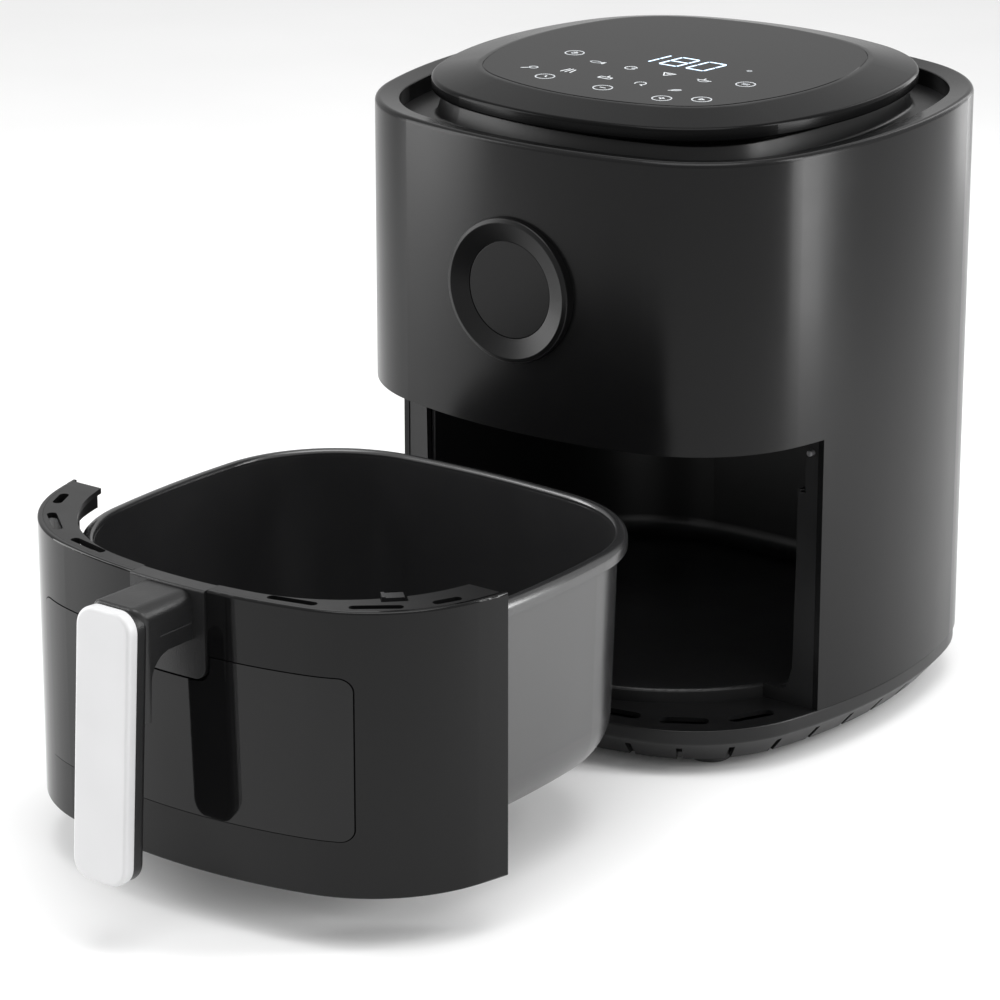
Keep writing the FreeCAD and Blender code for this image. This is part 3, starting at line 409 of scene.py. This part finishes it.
SEAM_DROP = 16 * MM                 # below the top of the handle's mount
SEAM_ASIDE = 14.8 * MM              # from the middle of the arm
SEAM_SUNK = 0.2 * MM
SEAM_PROUD = 0.08 * MM
SEAM_HALF = 0.22 * MM               # half of the line's height
SEAM_BACK = 0.3 * MM                # start, in front of the mount's face
SEAM_FRONT = 22 * MM                # end, behind the front of the handle's body


def arm_seams():
    """Fine parting line along both sides of the handle's arm."""
    mount_low, mount_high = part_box("handle_mount")
    grip_low, grip_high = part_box("handle_body")
    height = mount_high[2] - SEAM_DROP
    section = ((-SEAM_SUNK, -SEAM_HALF), (SEAM_PROUD, -SEAM_HALF),
               (SEAM_PROUD, SEAM_HALF), (-SEAM_SUNK, SEAM_HALF))
    for side, label in ((-1, "left"), (1, "right")):
        build = bmesh.new()
        x = (grip_low[0] + grip_high[0]) / 2 + side * SEAM_ASIDE
        ends = []
        for y in (mount_low[1] - SEAM_BACK, grip_low[1] + SEAM_FRONT):
            ends.append([build.verts.new((x + side * dx, y, height + dz)) for dx, dz in section])
        for i in range(4):
            j = (i + 1) % 4
            build.faces.new((ends[0][i], ends[0][j], ends[1][j], ends[1][i]))
        build.faces.new(ends[0][::-1])
        build.faces.new(ends[1])
        bmesh.ops.recalc_face_normals(build, faces=build.faces)
        finish_piece("arm_seam_" + label, build, MATERIALS["foot_rubber"], "drawer")


grip_cover()
arm_seams()


# ---- floor and lights -------------------------------------------------------------------------
FLOOR_HALF = 6.0
FLOOR_DARK = (0.86, 0.86, 0.86)
FLOOR_LIGHT = (0.88, 0.88, 0.88)
FLOOR_SCALE = 6
WORLD_STRENGTH = 0.75
AIM = (HOUSING.x, HOUSING.y - 0.08, 0.12)       # a point between the housing and the drawer

# Upright soft boxes: angle from +X in degrees, then distance, width and height in metres, then watts.
CARDS = {
    "left_card": (213, 1.2, 0.5, 1.3, 12),
    "band_card": (22, 0.9, 0.2, 1.2, 9),
    "rim_card": (84, 1.2, 0.25, 1.3, 3),
}
TOP_BOX_AT = (0.3, -0.3, 2.2)
TOP_BOX_SIZE = (1.6, 1.6)
TOP_BOX_POWER = 30


def make_floor():
    mesh = bpy.data.meshes.new("floor")
    build = bmesh.new()
    bmesh.ops.create_grid(build, x_segments=4, y_segments=4, size=FLOOR_HALF)
    build.to_mesh(mesh)
    build.free()
    floor = bpy.data.objects.new("floor", mesh)
    SCENE.collection.objects.link(floor)
    shader = Shader("floor_white")
    shader.colour(FLOOR_DARK, FLOOR_LIGHT, shader.spread(shader.noise(FLOOR_SCALE), 0, 1))
    shader.set(Roughness=0.6, Specular_IOR_Level=0.2)
    mesh.materials.append(shader.material)


def make_world():
    world = bpy.data.worlds.new("studio")
    world.use_nodes = True
    background = world.node_tree.nodes["Background"]
    background.inputs["Color"].default_value = (1, 1, 1, 1)
    background.inputs["Strength"].default_value = WORLD_STRENGTH
    SCENE.world = world
    SCENE.view_settings.view_transform = "Standard"


def area_light(name, place, aim, size, power):
    """Rectangular soft box that the camera doesn't see."""
    data = bpy.data.lights.new(name, "AREA")
    data.shape = "RECTANGLE"
    data.size, data.size_y = size
    data.energy = power
    lamp = bpy.data.objects.new(name, data)
    lamp.location = place
    lamp.rotation_euler = (Vector(aim) - Vector(place)).to_track_quat("-Z", "Y").to_euler()
    lamp.visible_camera = False
    SCENE.collection.objects.link(lamp)


def card(name, azimuth, distance, width, height, power):
    """Upright soft box that stands on the floor, at an angle from +X seen from the object."""
    turn = math.radians(azimuth)
    place = (AIM[0] + distance * math.cos(turn), AIM[1] + distance * math.sin(turn), height / 2)
    area_light(name, place, (AIM[0], AIM[1], height / 2), (width, height), power)


make_floor()
make_world()
for name, setting in CARDS.items():
    card(name, *setting)
area_light("top_box", TOP_BOX_AT, AIM, TOP_BOX_SIZE, TOP_BOX_POWER)


# ---- camera -----------------------------------------------------------------------------------
CAMERA_OFFSET = Vector((1.208, -1.740, 0.818))      # from the middle of the housing's footprint
CAMERA_AZIMUTH = math.radians(34.77)
CAMERA_SIDE = -0.04101                              # aim, per unit of level distance
CAMERA_DROP = -0.3433
CAMERA_LENS = 157.9
CAMERA_SENSOR = 36
CAMERA_CLIP = 0.05


def make_camera():
    data = bpy.data.cameras.new("camera")
    data.lens = CAMERA_LENS
    data.sensor_width = CAMERA_SENSOR
    data.clip_start = CAMERA_CLIP
    camera = bpy.data.objects.new("camera", data)
    camera.location = Vector((HOUSING.x, HOUSING.y, 0)) + CAMERA_OFFSET
    right = Vector((math.cos(CAMERA_AZIMUTH), math.sin(CAMERA_AZIMUTH), 0))
    ahead = Vector((-math.sin(CAMERA_AZIMUTH), math.cos(CAMERA_AZIMUTH), 0))
    aim = ahead + right * CAMERA_SIDE + Vector((0, 0, CAMERA_DROP))
    camera.rotation_euler = aim.to_track_quat("-Z", "Y").to_euler()
    SCENE.collection.objects.link(camera)
    SCENE.camera = camera


make_camera()
